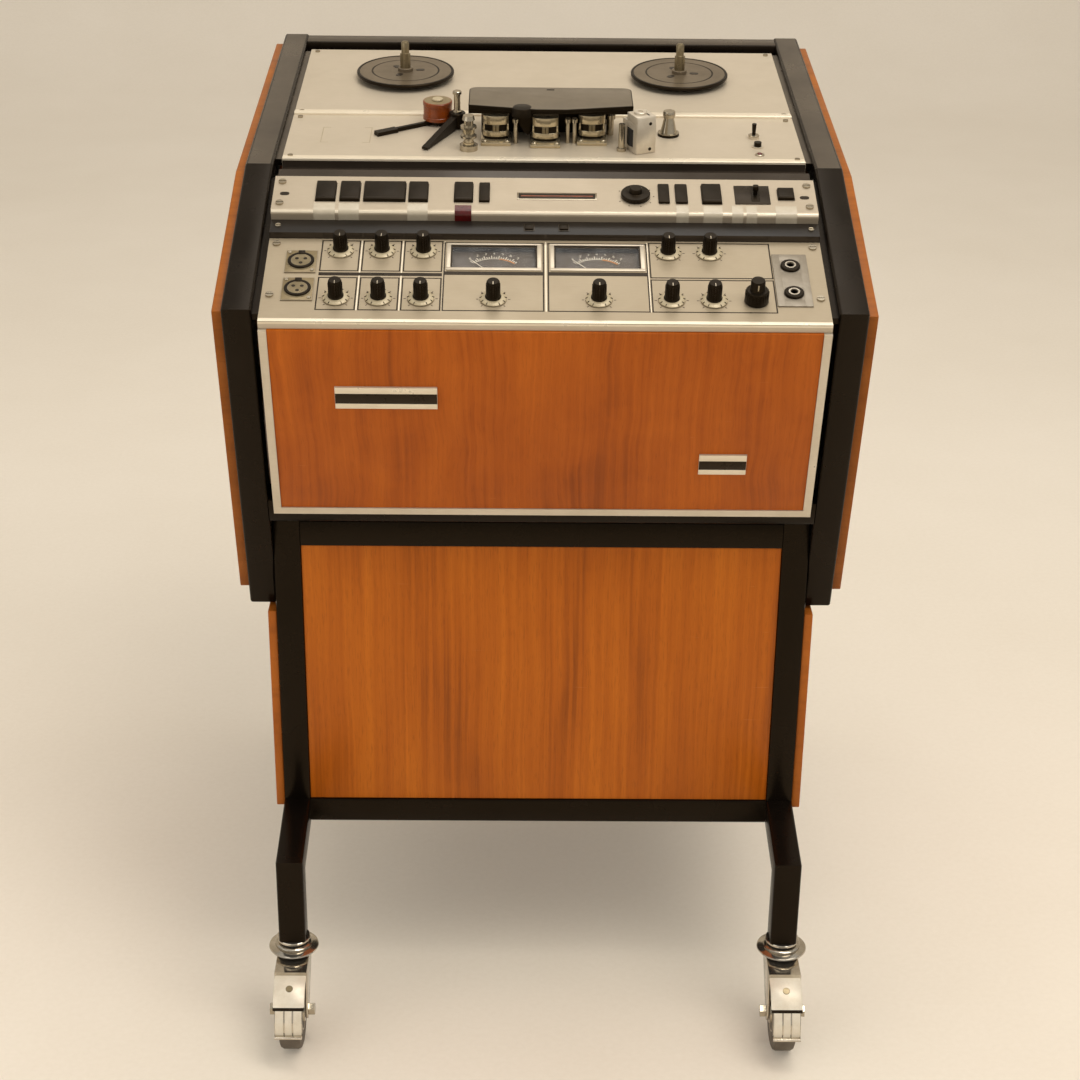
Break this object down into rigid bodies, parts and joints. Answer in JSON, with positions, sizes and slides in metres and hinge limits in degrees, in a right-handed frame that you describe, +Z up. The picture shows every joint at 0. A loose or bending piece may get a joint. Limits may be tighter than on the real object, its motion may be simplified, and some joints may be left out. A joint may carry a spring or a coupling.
{
  "type": "reel-to-reel tape recorder",
  "caption": "Reel-to-reel tape recorder with sloping control panels, wood sides and a tube-framed stand on swivelling castors.",
  "frame": {"origin": "on the floor, under the middle of the object's box", "axes": "+X to the right as seen from the front, +Y to the back, +Z up"},
  "size_m": [0.5634, 0.683, 0.8544],
  "materials": {
    "black_metal": "satin",
    "black_plastic": "satin",
    "black_sheet": "satin",
    "black_tube": "satin black paint",
    "block_metal": "ground",
    "bright_steel": "ground",
    "castor_chrome": "plated",
    "cover_metal": "satin",
    "dark_strip": "satin",
    "head_metal": "satin",
    "meter_metal": "satin",
    "motor_grey": "satin",
    "needle": "painted",
    "roller_brown": "smooth",
    "rubber": "matt",
    "sheet_steel": "zinc",
    "silver_panel": "satin anodised",
    "silver_trim": "satin",
    "socket_metal": "satin",
    "table_metal": "turned",
    "teak": "oiled",
    "wheel_rubber": "matt"
  },
  "bodies": {
    "console": {"console_frame": "black_tube", "side_panels": "teak", "front_panel": "teak", "front_trim": "silver_trim", "deck_plates": "silver_panel", "fascia_strips": "dark_strip", "keyboard_panel": "silver_panel", "preamp_panel": "silver_panel", "chassis": "sheet_steel", "rear_cover": "black_sheet", "stand_frame": "black_tube", "stand_panels": "teak", "panel_screws": "bright_steel", "drive_motors": "motor_grey", "tape_heads": "head_metal", "tape_guides": "bright_steel", "meter_cases": "meter_metal", "panel_sockets": "socket_metal"},
    "head_cover": {"head_cover": "cover_metal"},
    "reel_table_left": {"reel_table_left": "table_metal"},
    "reel_table_right": {"reel_table_right": "table_metal"},
    "tension_arm": {"tension_arm": "black_metal"},
    "pinch_arm": {"pinch_arm": "block_metal"},
    "pinch_roller": {"pinch_roller": "rubber"},
    "capstan": {"capstan": "bright_steel"},
    "counter_roller": {"counter_roller": "roller_brown"},
    "fork_front_left": {"fork_front_left": "castor_chrome"},
    "fork_front_right": {"fork_front_right": "castor_chrome"},
    "fork_rear_left": {"fork_rear_left": "castor_chrome"},
    "fork_rear_right": {"fork_rear_right": "castor_chrome"},
    "wheel_front_left": {"wheel_front_left": "wheel_rubber"},
    "wheel_front_right": {"wheel_front_right": "wheel_rubber"},
    "wheel_rear_left": {"wheel_rear_left": "wheel_rubber"},
    "wheel_rear_right": {"wheel_rear_right": "wheel_rubber"},
    "key_rewind": {"key_rewind": "black_plastic"},
    "key_wind": {"key_wind": "black_plastic"},
    "key_play": {"key_play": "black_plastic"},
    "key_stop": {"key_stop": "black_plastic"},
    "key_record": {"key_record": "black_plastic"},
    "key_cue": {"key_cue": "black_plastic"},
    "key_power": {"key_power": "black_plastic"},
    "lever_switch": {"lever_switch": "black_plastic"},
    "selector_knob": {"selector_knob": "black_plastic"},
    "deck_toggle": {"deck_toggle": "black_plastic"},
    "deck_button": {"deck_button": "black_plastic"},
    "needle_left": {"needle_left": "needle"},
    "needle_right": {"needle_right": "needle"},
    "knob_in_1": {"knob_in_1": "black_plastic"},
    "knob_in_2": {"knob_in_2": "black_plastic"},
    "knob_in_3": {"knob_in_3": "black_plastic"},
    "knob_mix_1": {"knob_mix_1": "black_plastic"},
    "knob_mix_2": {"knob_mix_2": "black_plastic"},
    "knob_mix_3": {"knob_mix_3": "black_plastic"},
    "knob_meter_1": {"knob_meter_1": "black_plastic"},
    "knob_meter_2": {"knob_meter_2": "black_plastic"},
    "knob_out_1": {"knob_out_1": "black_plastic"},
    "knob_out_2": {"knob_out_2": "black_plastic"},
    "knob_tone_1": {"knob_tone_1": "black_plastic"},
    "knob_tone_2": {"knob_tone_2": "black_plastic"},
    "knob_dual": {"knob_dual": "black_plastic"}
  },
  "joints": [
    {"name": "head_cover_hinge", "type": "hinge", "parent": "console", "child": "head_cover", "pos_m": [0.0063, 0.07357, 0.83621], "axis": [1, 0, 0], "range_deg": [-70, 0]},
    {"name": "reel_left_spin", "type": "hinge", "parent": "console", "child": "reel_table_left", "pos_m": [-0.1385, 0.20776, 0.82115], "axis": [0, -0.0819, 0.9966], "continuous": true},
    {"name": "reel_right_spin", "type": "hinge", "parent": "console", "child": "reel_table_right", "pos_m": [0.1385, 0.20776, 0.82115], "axis": [0, -0.0819, 0.9966], "continuous": true},
    {"name": "tension_arm_pivot", "type": "hinge", "parent": "console", "child": "tension_arm", "pos_m": [-0.1013, 0.07246, 0.80702], "axis": [0, -0.0819, 0.9966], "range_deg": [-6, 6]},
    {"name": "pinch_arm_pivot", "type": "hinge", "parent": "console", "child": "pinch_arm", "pos_m": [0.08885, 0.01608, 0.81041], "axis": [0, -0.0819, 0.9966], "range_deg": [-12, 0]},
    {"name": "pinch_roller_spin", "type": "hinge", "parent": "pinch_arm", "child": "pinch_roller", "pos_m": [0.08625, 0.00253, 0.81231], "axis": [0, -0.0819, 0.9966], "continuous": true},
    {"name": "capstan_spin", "type": "hinge", "parent": "console", "child": "capstan", "pos_m": [0.0722, 0.00086, 0.79912], "axis": [0, -0.0819, 0.9966], "continuous": true},
    {"name": "counter_roller_spin", "type": "hinge", "parent": "console", "child": "counter_roller", "pos_m": [-0.1013, 0.0718, 0.81499], "axis": [0, -0.0819, 0.9966], "continuous": true},
    {"name": "front_left_swivel", "type": "hinge", "parent": "console", "child": "fork_front_left", "pos_m": [-0.2346, -0.26047, 0.1], "axis": [0, 0, 1], "continuous": true},
    {"name": "front_right_swivel", "type": "hinge", "parent": "console", "child": "fork_front_right", "pos_m": [0.2346, -0.26047, 0.1], "axis": [0, 0, 1], "continuous": true},
    {"name": "rear_left_swivel", "type": "hinge", "parent": "console", "child": "fork_rear_left", "pos_m": [-0.2346, 0.30213, 0.1], "axis": [0, 0, 1], "continuous": true},
    {"name": "rear_right_swivel", "type": "hinge", "parent": "console", "child": "fork_rear_right", "pos_m": [0.2346, 0.30213, 0.1], "axis": [0, 0, 1], "continuous": true},
    {"name": "front_left_roll", "type": "hinge", "parent": "fork_front_left", "child": "wheel_front_left", "pos_m": [-0.2346, -0.29347, 0.0375], "axis": [1, 0, 0], "continuous": true},
    {"name": "front_right_roll", "type": "hinge", "parent": "fork_front_right", "child": "wheel_front_right", "pos_m": [0.2346, -0.29347, 0.0375], "axis": [1, 0, 0], "continuous": true},
    {"name": "rear_left_roll", "type": "hinge", "parent": "fork_rear_left", "child": "wheel_rear_left", "pos_m": [-0.2346, 0.26913, 0.0375], "axis": [1, 0, 0], "continuous": true},
    {"name": "rear_right_roll", "type": "hinge", "parent": "fork_rear_right", "child": "wheel_rear_right", "pos_m": [0.2346, 0.26913, 0.0375], "axis": [1, 0, 0], "continuous": true},
    {"name": "key_rewind_press", "type": "slide", "parent": "console", "child": "key_rewind", "axis": [0, -0.2974, 0.9548], "range_m": [-0.0025, 0], "stiffness_N_per_m": 400},
    {"name": "key_wind_press", "type": "slide", "parent": "console", "child": "key_wind", "axis": [0, -0.2974, 0.9548], "range_m": [-0.0025, 0], "stiffness_N_per_m": 400},
    {"name": "key_play_press", "type": "slide", "parent": "console", "child": "key_play", "axis": [0, -0.2974, 0.9548], "range_m": [-0.0025, 0], "stiffness_N_per_m": 400},
    {"name": "key_stop_press", "type": "slide", "parent": "console", "child": "key_stop", "axis": [0, -0.2974, 0.9548], "range_m": [-0.0025, 0], "stiffness_N_per_m": 400},
    {"name": "key_record_press", "type": "slide", "parent": "console", "child": "key_record", "axis": [0, -0.2974, 0.9548], "range_m": [-0.0025, 0], "stiffness_N_per_m": 400},
    {"name": "key_cue_press", "type": "slide", "parent": "console", "child": "key_cue", "axis": [0, -0.2974, 0.9548], "range_m": [-0.0025, 0], "stiffness_N_per_m": 400},
    {"name": "key_power_press", "type": "slide", "parent": "console", "child": "key_power", "axis": [0, -0.2974, 0.9548], "range_m": [-0.0025, 0], "stiffness_N_per_m": 400},
    {"name": "lever_tilt", "type": "hinge", "parent": "console", "child": "lever_switch", "pos_m": [0.1872, -0.10578, 0.78459], "axis": [1, 0, 0], "range_deg": [-12, 12]},
    {"name": "selector_turn", "type": "hinge", "parent": "console", "child": "selector_knob", "pos_m": [0.0805, -0.11168, 0.79008], "axis": [0, -0.2974, 0.9548], "range_deg": [-75, 75]},
    {"name": "deck_toggle_tilt", "type": "hinge", "parent": "console", "child": "deck_toggle", "pos_m": [0.199, 0.03764, 0.80335], "axis": [1, 0, 0], "range_deg": [-14, 14]},
    {"name": "deck_button_press", "type": "slide", "parent": "console", "child": "deck_button", "axis": [0, -0.0819, 0.9966], "range_m": [-0.002, 0], "stiffness_N_per_m": 400},
    {"name": "needle_left_swing", "type": "hinge", "parent": "console", "child": "needle_left", "pos_m": [-0.0444, -0.19393, 0.74142], "axis": [0, -0.2974, 0.9548], "range_deg": [-84, 0]},
    {"name": "needle_right_swing", "type": "hinge", "parent": "console", "child": "needle_right", "pos_m": [0.0454, -0.19393, 0.74142], "axis": [0, -0.2974, 0.9548], "range_deg": [-84, 0]},
    {"name": "knob_in_1_turn", "type": "hinge", "parent": "console", "child": "knob_in_1", "pos_m": [-0.1778, -0.17035, 0.75819], "axis": [0, -0.2974, 0.9548], "range_deg": [-140, 140]},
    {"name": "knob_in_2_turn", "type": "hinge", "parent": "console", "child": "knob_in_2", "pos_m": [-0.1418, -0.17035, 0.75819], "axis": [0, -0.2974, 0.9548], "range_deg": [-140, 140]},
    {"name": "knob_in_3_turn", "type": "hinge", "parent": "console", "child": "knob_in_3", "pos_m": [-0.1058, -0.17035, 0.75819], "axis": [0, -0.2974, 0.9548], "range_deg": [-140, 140]},
    {"name": "knob_mix_1_turn", "type": "hinge", "parent": "console", "child": "knob_mix_1", "pos_m": [-0.1778, -0.23623, 0.73767], "axis": [0, -0.2974, 0.9548], "range_deg": [-140, 140]},
    {"name": "knob_mix_2_turn", "type": "hinge", "parent": "console", "child": "knob_mix_2", "pos_m": [-0.1418, -0.23623, 0.73767], "axis": [0, -0.2974, 0.9548], "range_deg": [-140, 140]},
    {"name": "knob_mix_3_turn", "type": "hinge", "parent": "console", "child": "knob_mix_3", "pos_m": [-0.1058, -0.23623, 0.73767], "axis": [0, -0.2974, 0.9548], "range_deg": [-140, 140]},
    {"name": "knob_meter_1_turn", "type": "hinge", "parent": "console", "child": "knob_meter_1", "pos_m": [-0.0444, -0.23623, 0.73767], "axis": [0, -0.2974, 0.9548], "range_deg": [-140, 140]},
    {"name": "knob_meter_2_turn", "type": "hinge", "parent": "console", "child": "knob_meter_2", "pos_m": [0.0454, -0.23623, 0.73767], "axis": [0, -0.2974, 0.9548], "range_deg": [-140, 140]},
    {"name": "knob_out_1_turn", "type": "hinge", "parent": "console", "child": "knob_out_1", "pos_m": [0.1072, -0.17035, 0.75819], "axis": [0, -0.2974, 0.9548], "range_deg": [-140, 140]},
    {"name": "knob_out_2_turn", "type": "hinge", "parent": "console", "child": "knob_out_2", "pos_m": [0.1432, -0.17035, 0.75819], "axis": [0, -0.2974, 0.9548], "range_deg": [-140, 140]},
    {"name": "knob_tone_1_turn", "type": "hinge", "parent": "console", "child": "knob_tone_1", "pos_m": [0.1072, -0.23623, 0.73767], "axis": [0, -0.2974, 0.9548], "range_deg": [-140, 140]},
    {"name": "knob_tone_2_turn", "type": "hinge", "parent": "console", "child": "knob_tone_2", "pos_m": [0.1432, -0.23623, 0.73767], "axis": [0, -0.2974, 0.9548], "range_deg": [-140, 140]},
    {"name": "knob_dual_turn", "type": "hinge", "parent": "console", "child": "knob_dual", "pos_m": [0.1792, -0.23623, 0.73767], "axis": [0, -0.2974, 0.9548], "range_deg": [-140, 140]}
  ]
}
